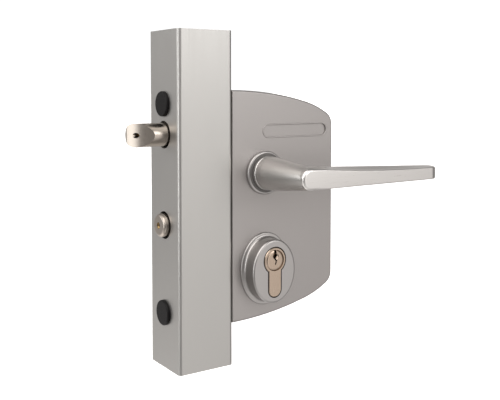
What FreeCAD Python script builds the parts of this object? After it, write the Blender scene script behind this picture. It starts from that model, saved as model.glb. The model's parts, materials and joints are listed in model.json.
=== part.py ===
import FreeCAD, Part
import math
import os

# Gate lock for a square gate tube: a cast casing with a lever handle on each side,
# a sprung latch bolt, a key-driven deadbolt and a profile cylinder.
# Millimetres. The origin is the centre of the tube's lower cut end, +Z up along the tube,
# +X from the tube towards the lock, +Y from the near side to the far side.
# Both sides of the lock are alike, so most pieces are described by their depth,
# which is the distance from the middle plane y = 0.

V = FreeCAD.Vector
os.makedirs("parts", exist_ok=True)

# Gate tube
tube_side = 40.0
tube_wall = 2.0
tube_corner_r = 2.5
tube_length = 220.0

# Heights of the lock's axes, from the middle of its casing
lock_mid_z = 104.5
handle_rise = 21.5
deadbolt_drop = 10.6
cylinder_drop = 35.9
latch_above_arm = 0.57
fixing_above_latch = 19.8

# Casing outline: a crown arc, a shoulder arc and a corner arc at top and bottom
cover_half_depth = 19.7
crown_r = 239.0
shoulder_start = 60.5
shoulder_r = 69.0
corner_r = 9.4
cover_wall = 2.6
lid_thick = 2.6
cover_edge_r = 1.5
cover_tube_edge_r = 0.5

# Blank name recess in the near cover
recess_length = 53.2
recess_height = 7.9
recess_depth = 0.8
recess_from_tube = 51.4
recess_rise = 49.45
recess_rim = 0.9
recess_rim_proud = 0.35
recess_rim_r = 0.3

# Cover screws and the posts that take them
post_r = 3.5
post_hole_depth = 18.0
cover_screw_r = 1.5
cover_screw_head_r = 2.9
cover_screw_length = 14.0
cover_screw_socket = 2.0
cover_screw_socket_depth = 1.2
upper_post_from_tube = 36.0
upper_post_below_crown = 9.4
side_post_below_crown = 26.9
side_post_from_edge = 9.0

# Lock case inside the casing
case_plate = 2.0
case_from_lid = 1.3
case_from_edge = 16.0
case_post_gap = 0.5
case_length = 65.4
face_plate_thick = 6.0
face_plate_end_gap = 0.8
pillar_r = 2.5
case_screw_r = 1.5
case_screw_head_r = 2.75
case_screw_head = 1.8
case_screw_length = 7.0
case_screw_socket = 2.0
case_screw_socket_depth = 1.0
face_plate_screw_rises = [20.0, -35.0]

# Pillars of the lock case: back from the case's edge, and up from the casing's middle
latch_pillar = (8.0, 34.0)
detent_pillar = (8.0, 1.0)
corner_pillar = (10.0, -45.0)

# The foot pillar is placed from the handle's axis, and the spring's pillar by the face plate
foot_pillar_beside_axis = 14.5
foot_pillar_drop = 58.0
spring_pillar_rise = 7.5
spring_pillar_from_plate = 1.05

# Fixing screws, their washers and the plugs over their access holes
fixing_r = 4.0
fixing_from_plate_end = 5.5
fixing_head_r = 6.5
fixing_head = 8.0
fixing_socket = 6.0
fixing_socket_depth = 4.0
access_hole_gap = 1.0
washer_thick = 1.6
cap_rim = 0.7
cap_proud = 2.2
cap_edge_r = 0.9
cap_stem_length = 6.0
cap_stem_wall = 1.4
cap_slot = 2.0
cap_slot_from_tube = 0.5

# Bolts
bolt_r = 7.6
bolt_fit = 0.05
latch_proud = 23.7
latch_travel = 20.0
bevel_from_face = 10.1
nose_back = 2.6
bevel_crown_r = 40.0
push_wall_thick = 2.5
latch_screw_r = 1.7
latch_screw_before_heel = 5.4
latch_screw_depth = 4.6
deadbolt_proud = 4.2
deadbolt_travel = 16.0
deadbolt_edge_r = 2.0
deadbolt_rear_from_tube = 36.0
deadbolt_screw_r = 2.1
bolt_screw_length = 6.0
bolt_screw_socket_depth = 2.0
bolt_screw_sunk = 1.0
bolt_bush_wall = 1.55
bolt_bush_flange = 1.3
bolt_bush_flange_thick = 1.2
bolt_hole_step = 0.2

# Follower that the handles turn
handle_turn_deg = 45.0
arm_tip_r = 4.0
arm_half = 2.0
arm_root_half = 6.5
arm_thick = 7.0
arm_neck_in_bolt = 1.0
journal_r = 8.5
hub_wall = 2.5
spindle_side = 8.0
spindle_in_lever = 24.0
spindle_chamfer = 0.4
drive_gap = 0.3

# Springs
latch_spring_wire = 1.2
latch_spring_r = 4.2
latch_spring_turns = 8
spring_seat_depth = 9.5
spring_stop_thick = 3.5
spring_stop_from_case_end = 0.5
stop_screw_from_end = 2.0
spring_rod_r = 2.4
spring_rod_end_gap = 2.7
handle_spring_wire = 1.6
handle_spring_turns = 2.5
handle_spring_pitch = 2.1
handle_spring_gap = 0.7
handle_spring_hook = 3.0

# Profile cylinder
profile_r = 8.5
profile_stem_half = 5.0
profile_height = 33.0
profile_chamfer = 0.4
cylinder_half_length = 32.3
cylinder_gap_half = 5.0
cam_half = 4.7
cam_r = 15.0
cam_nose_half = 4.5
cam_ring_r = 8.0
plug_r = 7.0
plug_tail_r = 4.5
plug_chamfer = 0.5
keyway_half = 1.1
keyway_depth = 20.0
keyway_steps = [(0.0, 3.6), (1.0, 2.2), (-0.7, 0.4), (1.2, -1.6), (0.5, -3.8)]
cylinder_screw_r = 2.5
cylinder_screw_head_r = 4.8
cylinder_screw_above_foot = 4.5
cylinder_screw_socket = 3.0
cylinder_screw_socket_depth = 2.0
cylinder_screw_end_gap = 1.0

# Deadbolt tail that the cam moves
tail_thick = 8.0
tail_top_above_axis = 4.0
tail_lug = 4.2
cam_reach_height = 12.9
tail_rear_from_tube = 60.0
tail_bar_height = 8.0
detent_notch = 1.2
detent_thick = 0.8
detent_half_width = 3.0
detent_behind_bolt = 5.0
detent_nub_gap = 0.1
tail_pin_r = 1.5
tail_pin_from_rear = 6.0

# Oval rosettes around the cylinder
rosette_below_cylinder = 7.4
rosette_ring_half_width = 19.5
rosette_ring_half_height = 24.5
rosette_ring_thick = 1.5
rosette_half_width = 17.0
rosette_over_profile = 4.8
rosette_edge_r = 1.5
rosette_ring_edge_r = 0.85
rosette_cove_r = 1.6
rosette_gap = 0.6
rosette_behind_cylinder = 0.4
rosette_screw_offset = 13.0
rosette_screw_below_cylinder = 9.1
rosette_screw_length = 7.0
rosette_screw_end_gap = 1.0

# Handles, their rings and bushes
ring_bore_r = 13.3
ring_wall = 0.8
ring_lip = 0.5
ring_proud = 2.4
ring_edge_r = 1.15
ring_sleeve = 3.9
bush_from_face = 2.2
bush_length = 6.9
spigot_r = 9.0
neck_ring_gap = 1.85
neck_from_bush = 0.3
neck_flange_length = 2.8
neck_flange_edge_r = 0.2
neck_step = 0.3
neck_base_length = 5.2
neck_end_r = 6.95
lever_face_proud = 52.3
lever_thick = 11.5
lever_end_from_tube = 138.7
lever_bottom = 6.7
lever_tip_bottom = 6.2
lever_mid_from_tube = 70.0
lever_face_root_top = 6.9
lever_face_mid_top = 3.5
lever_face_tip_top = 2.2
lever_back_root_top = 7.3
lever_back_mid_top = 5.4
lever_back_tip_top = 2.5
lever_tip_face_r = 9.0
lever_tip_back_r = 2.4
lever_face_r = 0.7
grub_r = 2.5
grub_length = 6.0
grub_proud = 13.3
grub_socket = 2.5
grub_socket_depth = 2.0

# Clearances
seat_gap = 0.05
run_gap = 0.05
loose_gap = 0.4

# Small rounded edges, and how far a cutting shape runs past what it cuts
small_edge_r = 0.5
over = 1.0

# Sizes that follow from those above
fixing_hole_r = fixing_r + loose_gap
access_hole_r = fixing_head_r + access_hole_gap
washer_r = access_hole_r - drive_gap
cap_r = access_hole_r + cap_rim
bush_r = bolt_r + bolt_fit + bolt_bush_wall
bolt_hole_r = bush_r - bolt_hole_step
arm_length = latch_travel / (2 * math.sin(math.radians(handle_turn_deg / 2)))
latch_rise = handle_rise + arm_length + latch_above_arm
fixing_rise = latch_rise + fixing_above_latch
face_plate_half_height = fixing_rise + fixing_from_plate_end
cover_half_height = face_plate_half_height + face_plate_end_gap + cover_wall
cover_width = cover_wall + case_length + case_from_edge
upper_post_rise = cover_half_height - upper_post_below_crown
case_half_width = cover_half_depth - cover_wall - case_from_lid - case_screw_head - case_plate
case_half_height = upper_post_rise - post_r - case_post_gap
spring_stop_from_tube = cover_wall + case_length - spring_stop_thick - spring_stop_from_case_end
handle_spring_r = journal_r + handle_spring_wire / 2 + handle_spring_gap
hub_r = handle_spring_r + hub_wall
spring_pillar_from_tube = cover_wall + face_plate_thick + spring_pillar_from_plate + pillar_r
backset = spring_pillar_from_tube + pillar_r + seat_gap + handle_spring_wire / 2 + handle_spring_r
rosette_drop = cylinder_drop + rosette_below_cylinder
rosette_half_height = profile_height / 2 + rosette_over_profile
rosette_depth = cylinder_half_length - rosette_behind_cylinder - cover_half_depth
rosette_screw_drop = cylinder_drop + rosette_screw_below_cylinder
cylinder_screw_drop = profile_height - profile_r - cylinder_screw_above_foot
ring_sleeve_r = ring_bore_r + ring_wall
ring_r = ring_sleeve_r + ring_lip
ring_sleeve_depth = cover_half_depth - ring_sleeve
bush_depth_end = cover_half_depth + bush_from_face
bush_depth_start = bush_depth_end - bush_length
neck_flange_r = ring_bore_r - neck_ring_gap
neck_flange_depth = bush_depth_end + neck_from_bush
neck_flange_end = neck_flange_depth + neck_flange_length
neck_base_end = neck_flange_end + neck_base_length
neck_base_r = neck_flange_r - neck_step
lever_face_depth = cover_half_depth + lever_face_proud
lever_back_depth = lever_face_depth - lever_thick
spindle_half_length = lever_face_depth - spindle_in_lever
grub_depth = cover_half_depth + grub_proud

# Places worked out from the sizes above
tube_half = tube_side / 2
axis_x = tube_half + backset
handle_z = lock_mid_z + handle_rise
latch_z = lock_mid_z + latch_rise
deadbolt_z = lock_mid_z - deadbolt_drop
cylinder_z = lock_mid_z - cylinder_drop
rosette_z = lock_mid_z - rosette_drop
fixing_zs = [lock_mid_z - fixing_rise, lock_mid_z + fixing_rise]
inner_depth = cover_half_depth - cover_wall
lid_depth = cover_half_depth - lid_thick
plate_left = tube_half + cover_wall
plate_right = plate_left + face_plate_thick
case_outer = case_half_width + case_plate
case_edge = cover_wall + case_length
pillar_places = [(case_edge - back, rise)
                 for back, rise in (latch_pillar, detent_pillar, corner_pillar)]
pillar_places.append((backset + foot_pillar_beside_axis, -foot_pillar_drop))
pillar_places.append((spring_pillar_from_tube, spring_pillar_rise))


# Shape helpers

def box(x0, x1, y0, y1, z0, z1):
    return Part.makeBox(x1 - x0, y1 - y0, z1 - z0, V(x0, y0, z0))


def rod_x(x0, x1, y, z, r):
    return Part.makeCylinder(r, x1 - x0, V(x0, y, z), V(1, 0, 0))


def rod_y(y0, y1, x, z, r):
    return Part.makeCylinder(r, y1 - y0, V(x, y0, z), V(0, 1, 0))


def cone_y(y0, y1, x, z, r0, r1):
    return Part.makeCone(r0, r1, y1 - y0, V(x, y0, z), V(0, 1, 0))


def join(shapes):
    whole = shapes[0]
    for shape in shapes[1:]:
        whole = whole.fuse(shape)
    return whole.removeSplitter()


def cut(shape, tools):
    for tool in tools:
        shape = shape.cut(tool)
    return shape


def far_side(shape):
    return shape.mirror(V(0, 0, 0), V(0, 1, 0))


def hexagon(across, length, place, direction):
    corner = across / math.sqrt(3)
    points = [V(corner * math.cos(math.radians(60 * i)), corner * math.sin(math.radians(60 * i)), 0)
              for i in range(7)]
    prism = Part.Face(Part.makePolygon(points)).extrude(V(0, 0, length))
    prism.Placement = FreeCAD.Placement(place, FreeCAD.Rotation(V(0, 0, 1), direction))
    return prism


def flat_edges(shape, axis, place):
    found = []
    for edge in shape.Edges:
        bounds = edge.BoundBox
        low = (bounds.XMin, bounds.YMin, bounds.ZMin)[axis]
        high = (bounds.XMax, bounds.YMax, bounds.ZMax)[axis]
        if abs(low - place) < 1e-4 and abs(high - place) < 1e-4:
            found.append(edge)
    return found


def round_rim(shape, face_y):
    """Round a cover's outer rim, and only just break its edge along the tube."""
    shape = shape.makeFillet(cover_edge_r, flat_edges(shape, 1, face_y))
    shape = shape.common(box(tube_half, tube_half + 2 * cover_width, -cover_half_depth, cover_half_depth,
                             lock_mid_z - 2 * cover_half_height, lock_mid_z + 2 * cover_half_height))
    tube_edge = [edge for edge in flat_edges(shape, 0, tube_half)
                 if abs(edge.BoundBox.YMin - face_y) < 1e-4 and edge.BoundBox.YLength < 1e-4]
    return shape.makeFillet(cover_tube_edge_r, tube_edge)


def save(name, shape):
    if isinstance(shape, list):
        shape = Part.makeCompound(shape)
    if not shape.isValid():
        print("not valid:", name)
    shape.exportStep("parts/" + name + ".step")
    print(name, len(shape.Solids), "solids", round(shape.Volume / 1000, 2), "cm3")


# Outlines

def arc_point(centre, radius, angle):
    return V(centre[0] + radius * math.sin(angle), 0, centre[1] + radius * math.cos(angle))


def outline_arc(centre, radius, start, end):
    points = [arc_point(centre, radius, angle) for angle in (start, (start + end) / 2, end)]
    return Part.Arc(*points).toShape()


def cover_prism(inset, left, y0, y1):
    """The casing's outline, drawn in by inset and starting at x = left, from y0 to y1."""
    crown = (tube_half, lock_mid_z + cover_half_height - crown_r)
    shoulder_angle = math.asin(shoulder_start / crown_r)
    reach = crown_r - shoulder_r
    shoulder = (crown[0] + reach * math.sin(shoulder_angle), crown[1] + reach * math.cos(shoulder_angle))
    corner_x = tube_half + cover_width - corner_r
    corner_angle = math.asin((corner_x - shoulder[0]) / (shoulder_r - corner_r))
    corner = (corner_x, shoulder[1] + (shoulder_r - corner_r) * math.cos(corner_angle))
    left_angle = math.asin((left - crown[0]) / (crown_r - inset))
    top = [outline_arc(crown, crown_r - inset, left_angle, shoulder_angle),
           outline_arc(shoulder, shoulder_r - inset, shoulder_angle, corner_angle),
           outline_arc(corner, corner_r - inset, corner_angle, math.pi / 2)]
    bottom = [edge.mirror(V(0, 0, lock_mid_z), V(0, 0, 1)) for edge in top]
    right = Part.makeLine(top[2].Vertexes[-1].Point, bottom[2].Vertexes[-1].Point)
    tube_edge = Part.makeLine(top[0].Vertexes[0].Point, bottom[0].Vertexes[0].Point)
    edges = Part.__sortEdges__(top + bottom + [right, tube_edge])
    prism = Part.Face(Part.Wire(edges)).extrude(V(0, y1 - y0, 0))
    prism.translate(V(0, y0, 0))
    return prism


def oval_prism(half_width, half_height, y0, y1):
    ellipse = Part.Ellipse(V(0, 0, 0), half_height, half_width)
    prism = Part.Face(Part.Wire(ellipse.toShape())).extrude(V(0, 0, y1 - y0))
    prism.rotate(V(0, 0, 0), V(1, 0, 0), -90)
    prism.rotate(V(0, 0, 0), V(0, 1, 0), 90)
    prism.translate(V(axis_x, y0, rosette_z))
    return prism


def profile_prism(gap, y0, y1):
    """The cylinder's keyhole section, larger by gap all round."""
    foot_z = cylinder_z + profile_r - profile_height + profile_stem_half
    half = profile_stem_half + gap
    return join([rod_y(y0, y1, axis_x, cylinder_z, profile_r + gap),
                 box(axis_x - half, axis_x + half, y0, y1, foot_z, cylinder_z),
                 rod_y(y0, y1, axis_x, foot_z, half)])


def coil(axis_place, direction, mean_r, wire, pitch, turns):
    """A round wire wound in a helix of half-turn arcs about a line."""
    def point(turn):
        angle = 2 * math.pi * turn
        return V(mean_r * math.cos(angle), mean_r * math.sin(angle), pitch * turn)
    path = []
    for quarter in range(int(turns * 4)):
        start = quarter / 4
        path.append(Part.Arc(point(start), point(start + 0.125), point(start + 0.25)).toShape())
    section = Part.Wire(Part.Circle(point(0), V(0, 1, pitch / (2 * math.pi * mean_r)), wire / 2).toShape())
    winding = Part.Wire(path).makePipeShell([section], True, False)
    winding.Placement = FreeCAD.Placement(axis_place, FreeCAD.Rotation(V(0, 0, 1), direction))
    return winding


# Gate tube with its holes

def square_bar(half, corner, z0, z1):
    bar = box(-half, half, -half, half, z0, z1)
    upright = [edge for edge in bar.Edges if edge.BoundBox.ZLength > (z1 - z0) / 2]
    return bar.makeFillet(corner, upright)


def gate_tube():
    inner = tube_half - tube_wall
    tube = square_bar(tube_half, tube_corner_r, 0, tube_length)
    tube = tube.cut(square_bar(inner, tube_corner_r - tube_wall, -over, tube_length + over))
    holes = [rod_x(-tube_half - over, tube_half + over, 0, z, bolt_hole_r) for z in (latch_z, deadbolt_z)]
    for z in fixing_zs:
        holes.append(rod_x(-tube_half - over, 0, 0, z, access_hole_r))
        holes.append(rod_x(0, tube_half + over, 0, z, fixing_hole_r))
    return cut(tube, holes)


def hole_cap(z):
    """A plug pushed into an access hole: a low head with a rounded edge and a split stem."""
    stem_r = access_hole_r - seat_gap
    face_x = -tube_half - cap_proud
    head = rod_x(face_x, -tube_half, 0, z, cap_r)
    head = head.makeFillet(cap_edge_r, flat_edges(head, 0, face_x))
    stem = rod_x(-tube_half, -tube_half + cap_stem_length, 0, z, stem_r)
    stem = stem.cut(rod_x(-tube_half, 0, 0, z, stem_r - cap_stem_wall))
    slot_start = -tube_half + tube_wall + cap_slot_from_tube
    for low_y, low_z in ((cap_slot / 2, cap_r), (cap_r, cap_slot / 2)):
        stem = stem.cut(box(slot_start, 0, -low_y, low_y, z - low_z, z + low_z))
    return join([head, stem])


def fixing_screw(z):
    seat_x = tube_half - tube_wall - washer_thick
    shank = rod_x(seat_x, plate_right, 0, z, fixing_r)
    head = rod_x(seat_x - fixing_head, seat_x, 0, z, fixing_head_r)
    head = head.makeFillet(small_edge_r, flat_edges(head, 0, seat_x - fixing_head))
    screw = join([head, shank])
    socket = hexagon(fixing_socket, fixing_socket_depth, V(seat_x - fixing_head, 0, z), V(1, 0, 0))
    return screw.cut(socket)


def fixing_washer(z):
    inner_x = tube_half - tube_wall
    ring = rod_x(inner_x - washer_thick, inner_x, 0, z, washer_r)
    return ring.cut(rod_x(inner_x - washer_thick, inner_x, 0, z, fixing_hole_r))


# Casing

post_places = []
for from_tube, below_crown in ((upper_post_from_tube, upper_post_below_crown),
                               (cover_width - side_post_from_edge, side_post_below_crown)):
    rise = cover_half_height - below_crown
    post_places += [(tube_half + from_tube, lock_mid_z + rise), (tube_half + from_tube, lock_mid_z - rise)]
rosette_screw_z = lock_mid_z - rosette_screw_drop
rosette_screw_xs = [axis_x - rosette_screw_offset, axis_x + rosette_screw_offset]
cylinder_screw_z = cylinder_z - cylinder_screw_drop


def side_openings(y0, y1):
    """What both covers are cut by: the handle ring's hole, the keyhole and the rosette screws."""
    tools = [rod_y(y0, y1, axis_x, handle_z, ring_sleeve_r + seat_gap),
             profile_prism(rosette_gap + loose_gap, y0, y1)]
    tools += [rod_y(y0, y1, x, rosette_screw_z, cover_screw_r + seat_gap) for x in rosette_screw_xs]
    return tools


def name_recess(grow, y0, y1):
    half = recess_length / 2 - recess_height / 2
    x = tube_half + recess_from_tube
    z = lock_mid_z + recess_rise
    r = recess_height / 2 + grow
    return join([rod_y(y0, y1, x - half, z, r), rod_y(y0, y1, x + half, z, r),
                 box(x - half, x + half, y0, y1, z - r, z + r)])


def front_cover():
    face_y = -cover_half_depth
    shell = round_rim(cover_prism(0, tube_half - 2 * cover_edge_r, face_y, lid_depth), face_y)
    shell = shell.cut(cover_prism(cover_wall, plate_left, face_y + cover_wall, lid_depth))
    posts = [rod_y(face_y + cover_wall, lid_depth, x, z, post_r) for x, z in post_places]
    shell = join([shell] + posts)
    tools = side_openings(face_y - over, face_y + cover_wall + over)
    tools.append(name_recess(0, face_y - over, face_y + recess_depth))
    tools += [rod_y(lid_depth - post_hole_depth, lid_depth, x, z, cover_screw_r + seat_gap)
              for x, z in post_places]
    side_holes = [(z, bush_r + seat_gap) for z in (latch_z, deadbolt_z)]
    side_holes += [(z, fixing_hole_r) for z in fixing_zs]
    side_holes.append((cylinder_screw_z, cylinder_screw_head_r + loose_gap))
    tools += [rod_x(tube_half - over, plate_left + over, 0, z, r) for z, r in side_holes]
    rim_y = face_y - recess_rim_proud
    rim = name_recess(recess_rim, rim_y, face_y + recess_depth)
    rim = rim.cut(name_recess(0, rim_y, face_y + recess_depth))
    rim = rim.makeFillet(recess_rim_r, flat_edges(rim, 1, rim_y))
    return join([cut(shell, tools), rim])


def rear_cover():
    lid = cover_prism(0, tube_half - 2 * cover_edge_r, lid_depth, cover_half_depth)
    lid = round_rim(lid, cover_half_depth)
    tools = side_openings(lid_depth - over, cover_half_depth + over)
    sink = cover_screw_head_r - cover_screw_r
    for x, z in post_places:
        tools.append(rod_y(lid_depth - over, cover_half_depth + over, x, z, cover_screw_r + seat_gap))
        tools.append(cone_y(cover_half_depth - sink, cover_half_depth, x, z,
                            cover_screw_r + seat_gap, cover_screw_head_r + seat_gap))
    return cut(lid, tools)


def cover_screw(x, z):
    sink = cover_screw_head_r - cover_screw_r
    shank = rod_y(cover_half_depth - cover_screw_length, cover_half_depth - sink, x, z, cover_screw_r)
    head = cone_y(cover_half_depth - sink, cover_half_depth, x, z, cover_screw_r, cover_screw_head_r)
    screw = join([shank, head])
    socket_y = cover_half_depth - cover_screw_socket_depth
    return screw.cut(hexagon(cover_screw_socket, cover_screw_socket_depth, V(x, socket_y, z), V(0, 1, 0)))


# Lock case inside the casing

def tail_pocket():
    """Room under the deadbolt, in the face plate and bush, for the tail when the bolt is thrown."""
    half = tail_thick / 2 + loose_gap
    thrown = tail_left() - deadbolt_travel - drive_gap
    return box(thrown, plate_right + bolt_bush_flange_thick + over, -half, half,
               cylinder_z + cam_reach_height - loose_gap, deadbolt_z - bolt_r / 2)


def face_plate():
    plate = box(plate_left, plate_right, -case_half_width, case_half_width,
                lock_mid_z - face_plate_half_height, lock_mid_z + face_plate_half_height)
    tools = [rod_x(plate_left, plate_right, 0, z, bush_r + seat_gap) for z in (latch_z, deadbolt_z)]
    tools += [rod_x(plate_left, plate_right, 0, z, fixing_r + seat_gap) for z in fixing_zs]
    tools.append(rod_x(plate_left, plate_right, 0, cylinder_screw_z, cylinder_screw_r + seat_gap))
    sink = cylinder_screw_head_r - cylinder_screw_r
    tools.append(Part.makeCone(cylinder_screw_head_r + seat_gap, cylinder_screw_r + seat_gap, sink,
                               V(plate_left, 0, cylinder_screw_z), V(1, 0, 0)))
    tools.append(tail_pocket())
    for rise in face_plate_screw_rises:
        x = (plate_left + plate_right) / 2
        tools.append(rod_y(-case_half_width, case_half_width, x, lock_mid_z + rise,
                           case_screw_r + seat_gap))
    return cut(plate, tools)


def case_plate_near():
    plate = box(plate_left, plate_left + case_length, -case_outer, -case_half_width,
                lock_mid_z - case_half_height, lock_mid_z + case_half_height)
    tools = [rod_y(-case_outer, -case_half_width, axis_x, handle_z, journal_r + run_gap),
             profile_prism(loose_gap, -case_outer, -case_half_width)]
    for x, z in case_screw_places():
        tools.append(rod_y(-case_outer, -case_half_width, x, z, case_screw_r + seat_gap))
    return cut(plate, tools)


def case_screw_places():
    places = [(tube_half + x, lock_mid_z + z) for x, z in pillar_places]
    places += [((plate_left + plate_right) / 2, lock_mid_z + rise) for rise in face_plate_screw_rises]
    stop_x = tube_half + spring_stop_from_tube + spring_stop_thick / 2
    stop_rise = bolt_r - stop_screw_from_end
    return places + [(stop_x, latch_z - stop_rise), (stop_x, latch_z + stop_rise)]


def case_pillar(x, z):
    pillar = rod_y(-case_half_width, case_half_width, tube_half + x, lock_mid_z + z, pillar_r)
    return pillar.cut(rod_y(-case_half_width, case_half_width, tube_half + x, lock_mid_z + z,
                            case_screw_r + seat_gap))


def case_screw(x, z):
    head = rod_y(-case_outer - case_screw_head, -case_outer, x, z, case_screw_head_r)
    head = head.makeFillet(small_edge_r, flat_edges(head, 1, -case_outer - case_screw_head))
    shank = rod_y(-case_outer, -case_outer + case_screw_length, x, z, case_screw_r)
    socket = hexagon(case_screw_socket, case_screw_socket_depth,
                     V(x, -case_outer - case_screw_head, z), V(0, 1, 0))
    return join([head, shank]).cut(socket)


def bolt_bush(z):
    flange_end = plate_right + bolt_bush_flange_thick
    bush = join([rod_x(tube_half, plate_right, 0, z, bush_r),
                 rod_x(plate_right, flange_end, 0, z, bush_r + bolt_bush_flange)])
    return bush.cut(rod_x(tube_half, flange_end, 0, z, bolt_r + bolt_fit))


# Latch bolt, its screw and its spring

def latch_arm_x(turn_deg):
    """Where the follower's tip stands, from the handle axis, at a turn of the handles."""
    return arm_length * math.sin(math.radians(turn_deg - handle_turn_deg / 2))


latch_tip_x = -tube_half - latch_proud
bevel_start_x = -tube_half - bevel_from_face
push_wall_x = axis_x + latch_arm_x(0) + arm_tip_r + drive_gap
latch_rear_x = push_wall_x + push_wall_thick + spring_seat_depth


def latch_bolt():
    """A round bolt with one slightly crowned bevel, a slot for the follower and a spring seat."""
    bolt = rod_x(latch_tip_x, latch_rear_x, 0, latch_z, bolt_r)
    bolt = bolt.makeFillet(small_edge_r, flat_edges(bolt, 0, latch_tip_x))
    nose = V(latch_tip_x, bolt_r - nose_back, 0)
    heel = V(bevel_start_x, -bolt_r, 0)
    chord = heel - nose
    inward = V(-chord.y, chord.x, 0).normalize()
    crown_away = math.sqrt(bevel_crown_r ** 2 - (chord.Length / 2) ** 2)
    crown_middle = nose + chord / 2 + inward * crown_away + V(0, 0, latch_z - 2 * bolt_r)
    crown = Part.makeCylinder(bevel_crown_r, 4 * bolt_r, crown_middle)
    waste = box(latch_tip_x - over, bevel_start_x, -bolt_r - over, nose.y, latch_z - bolt_r - over,
                latch_z + bolt_r + over).cut(crown)
    slot_half = arm_thick / 2 + loose_gap
    slot_top = handle_z + arm_length + arm_tip_r + loose_gap
    slot = box(push_wall_x - 2 * arm_tip_r - 2 * drive_gap - latch_travel, push_wall_x,
               -slot_half, slot_half, latch_z - bolt_r - over, slot_top)
    seat = rod_x(latch_rear_x - spring_seat_depth, latch_rear_x, 0, latch_z,
                 latch_spring_r + latch_spring_wire / 2 + loose_gap)
    hole = rod_x(latch_tip_x, bevel_start_x + latch_screw_depth, 0, latch_z, latch_screw_r)
    return cut(bolt, [waste, slot, seat, hole])


def socket_screw_x(x0, z, r):
    """A set screw along the bolt, its hexagon socket facing out of the bolt's end."""
    screw = rod_x(x0, x0 + bolt_screw_length, 0, z, r)
    return screw.cut(hexagon(r, bolt_screw_socket_depth, V(x0, 0, z), V(1, 0, 0)))


def spring_stop():
    x0 = tube_half + spring_stop_from_tube
    rod_x0 = latch_rear_x - spring_seat_depth + latch_travel + spring_rod_end_gap
    block = box(x0, x0 + spring_stop_thick, -case_half_width, case_half_width,
                latch_z - bolt_r, latch_z + bolt_r)
    for x, z in case_screw_places()[-2:]:
        block = block.cut(rod_y(-case_half_width, case_half_width, x, z, case_screw_r + seat_gap))
    return join([block, rod_x(rod_x0, x0, 0, latch_z, spring_rod_r)])


def latch_spring():
    start = latch_rear_x - spring_seat_depth
    end = tube_half + spring_stop_from_tube
    free = end - start - latch_spring_wire - 2 * seat_gap
    pitch = free / latch_spring_turns
    place = V(start + latch_spring_wire / 2 + seat_gap, 0, latch_z)
    return coil(place, V(1, 0, 0), latch_spring_r, latch_spring_wire, pitch, latch_spring_turns)


# Follower, spindle and handle spring

def follower():
    """The hub on the spindle, with the arm that draws the latch back."""
    half = arm_thick / 2
    hub = rod_y(-half, half, axis_x, handle_z, hub_r)
    journal = rod_y(-case_outer, case_outer, axis_x, handle_z, journal_r)
    narrow = arm_length - arm_tip_r - bolt_r + arm_neck_in_bolt
    points = [V(axis_x - arm_root_half, -half, handle_z + hub_r / 2),
              V(axis_x - arm_half, -half, handle_z + narrow),
              V(axis_x - arm_half, -half, handle_z + arm_length),
              V(axis_x + arm_half, -half, handle_z + arm_length),
              V(axis_x + arm_half, -half, handle_z + narrow),
              V(axis_x + arm_root_half, -half, handle_z + hub_r / 2)]
    arm = Part.Face(Part.makePolygon(points + [points[0]])).extrude(V(0, arm_thick, 0))
    tip = rod_y(-half, half, axis_x, handle_z + arm_length, arm_tip_r)
    arm = join([arm, tip])
    arm.rotate(V(axis_x, 0, handle_z), V(0, 1, 0), -handle_turn_deg / 2)
    whole = join([hub, journal, arm])
    hook_hole = rod_y(half - handle_spring_hook, half, axis_x + handle_spring_r, handle_z,
                      handle_spring_wire / 2 + seat_gap)
    return cut(whole, [square_y(-case_outer, case_outer, spindle_side / 2 + seat_gap), hook_hole])


def square_y(y0, y1, half):
    return box(axis_x - half, axis_x + half, y0, y1, handle_z - half, handle_z + half)


def spindle():
    bar = square_y(-spindle_half_length, spindle_half_length, spindle_side / 2)
    long_edges = [edge for edge in bar.Edges if edge.BoundBox.YLength > spindle_half_length]
    return bar.makeChamfer(spindle_chamfer, long_edges)


def handle_spring():
    """A torsion spring round the journal: a hook in the hub and a leg against a pillar."""
    wire_r = handle_spring_wire / 2
    start = arm_thick / 2 + wire_r + drive_gap
    end = start + handle_spring_pitch * handle_spring_turns
    winding = coil(V(axis_x, start, handle_z), V(0, 1, 0), handle_spring_r, handle_spring_wire,
                   handle_spring_pitch, handle_spring_turns)
    winding = winding.mirror(V(0, 0, handle_z), V(0, 0, 1))
    hook_x = axis_x + handle_spring_r
    hook = rod_y(arm_thick / 2 - handle_spring_hook + seat_gap, start, hook_x, handle_z, wire_r)
    bend = Part.makeSphere(wire_r, V(hook_x, start, handle_z))
    leg_end = lock_mid_z + spring_pillar_rise - pillar_r
    leg = Part.makeCylinder(wire_r, handle_z - leg_end, V(axis_x - handle_spring_r, end, leg_end))
    return join([winding, hook, bend, leg])


# Deadbolt, its tail and its detent

def tail_notch_half():
    """Half the notch: as far aside as the cam's nose is above the lugs' lower edge."""
    return math.sqrt(cam_r ** 2 - cam_reach_height ** 2) + loose_gap


def tail_left():
    return axis_x + deadbolt_travel / 2 - tail_notch_half() - tail_lug


def deadbolt():
    front_x = -tube_half - deadbolt_proud
    rear_x = tube_half + deadbolt_rear_from_tube
    bolt = rod_x(front_x, rear_x, 0, deadbolt_z, bolt_r)
    bolt = bolt.makeFillet(deadbolt_edge_r, flat_edges(bolt, 0, front_x))
    half = tail_thick / 2
    slot = box(tail_left() - seat_gap, rear_x, -half - seat_gap, half + seat_gap,
               deadbolt_z - bolt_r - over, deadbolt_z + tail_top_above_axis + seat_gap)
    hole = rod_x(front_x, front_x + 2 * bolt_screw_length, 0, deadbolt_z, deadbolt_screw_r + seat_gap)
    pin = rod_y(-bolt_r, bolt_r, tail_pin_x(), deadbolt_z, tail_pin_r)
    return cut(bolt, [slot, hole, pin])


def tail_pin_x():
    return tube_half + deadbolt_rear_from_tube - tail_pin_from_rear


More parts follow.
